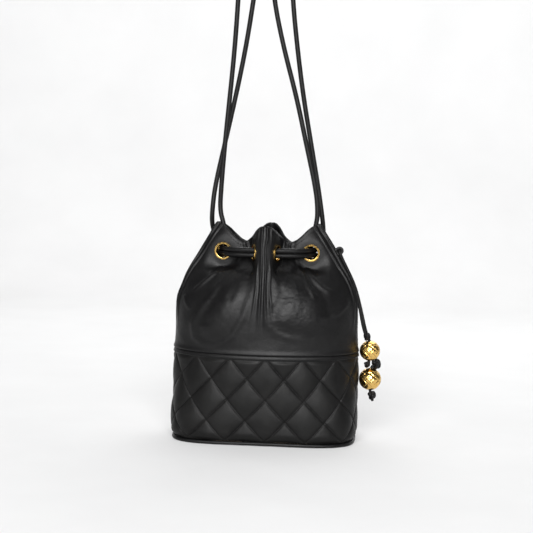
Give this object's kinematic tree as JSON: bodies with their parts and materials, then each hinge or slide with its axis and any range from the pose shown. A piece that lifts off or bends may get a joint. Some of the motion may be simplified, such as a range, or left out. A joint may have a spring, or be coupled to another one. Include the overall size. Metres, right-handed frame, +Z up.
{
  "type": "bucket bag",
  "caption": "Drawstring bucket bag with an oval quilted base band, a gathered soft upper body, metal eyelets, two long cord straps and a side charm of knotted cord and round beads.",
  "frame": {"origin": "centre of the oval base, on the surface the bag stands on", "axes": "+X to the side that carries the charm, -Y towards the front, +Z up through the mouth"},
  "size_m": [0.2267, 0.1188, 0.6146],
  "materials": {
    "leather": "smooth black lambskin, soft sheen",
    "quilted_leather": "black lambskin, diamond quilted",
    "cord": "rolled black leather cord",
    "gold": "polished gold-tone metal",
    "lining": "black woven lining",
    "wadding": "white needled wadding",
    "board": "pressed fibre board"
  },
  "bodies": {
    "bag": {"base_panel": "leather", "base_board": "board", "lining_base": "lining", "base_piping": "leather", "band_front": "quilted_leather", "band_back": "quilted_leather", "wadding_front": "wadding", "wadding_back": "wadding", "band_binding": "leather", "upper_front": "leather", "upper_back": "leather", "mouth_facing_front": "leather", "mouth_facing_back": "leather", "lining_lower_front": "lining", "lining_lower_back": "lining", "lining_upper_front": "lining", "lining_upper_back": "lining", "drawstring_left": "cord", "drawstring_right": "cord", "charm_tab": "leather", "eyelet_1": "gold", "eyelet_2": "gold", "eyelet_3": "gold", "eyelet_4": "gold", "eyelet_5": "gold", "eyelet_6": "gold", "eyelet_7": "gold", "eyelet_8": "gold", "eyelet_washer_1": "gold", "eyelet_washer_2": "gold", "eyelet_washer_3": "gold", "eyelet_washer_4": "gold", "eyelet_washer_5": "gold", "eyelet_washer_6": "gold", "eyelet_washer_7": "gold", "eyelet_washer_8": "gold"},
    "strap_left": {"strap_left": "cord"},
    "strap_right": {"strap_right": "cord"},
    "charm": {"charm_cord_front": "cord", "charm_cord_back": "cord", "charm_knot_top": "cord", "charm_knot_inner": "cord", "charm_knot_outer": "cord", "charm_knot_end": "cord"},
    "bead_upper": {"bead_upper": "gold"},
    "bead_lower": {"bead_lower": "gold"}
  },
  "joints": [
    {"name": "strap_left_swing", "type": "hinge", "parent": "bag", "child": "strap_left", "pos_m": [-0.058, 0.005, 0.242], "axis": [1, 0, 0], "range_deg": [-40, 40]},
    {"name": "strap_right_swing", "type": "hinge", "parent": "bag", "child": "strap_right", "pos_m": [0.053, 0.005, 0.242], "axis": [1, 0, 0], "range_deg": [-40, 40]},
    {"name": "charm_swing", "type": "hinge", "parent": "bag", "child": "charm", "pos_m": [0.0769, 0, 0.205], "axis": [0, -1, 0], "range_deg": [0, 60]},
    {"name": "bead_upper_spin", "type": "hinge", "parent": "charm", "child": "bead_upper", "pos_m": [0.1123, -0.001, 0.098], "axis": [0, 0, 1], "continuous": true},
    {"name": "bead_lower_spin", "type": "hinge", "parent": "charm", "child": "bead_lower", "pos_m": [0.1133, -0.001, 0.0673], "axis": [0, 0, 1], "continuous": true}
  ]
}
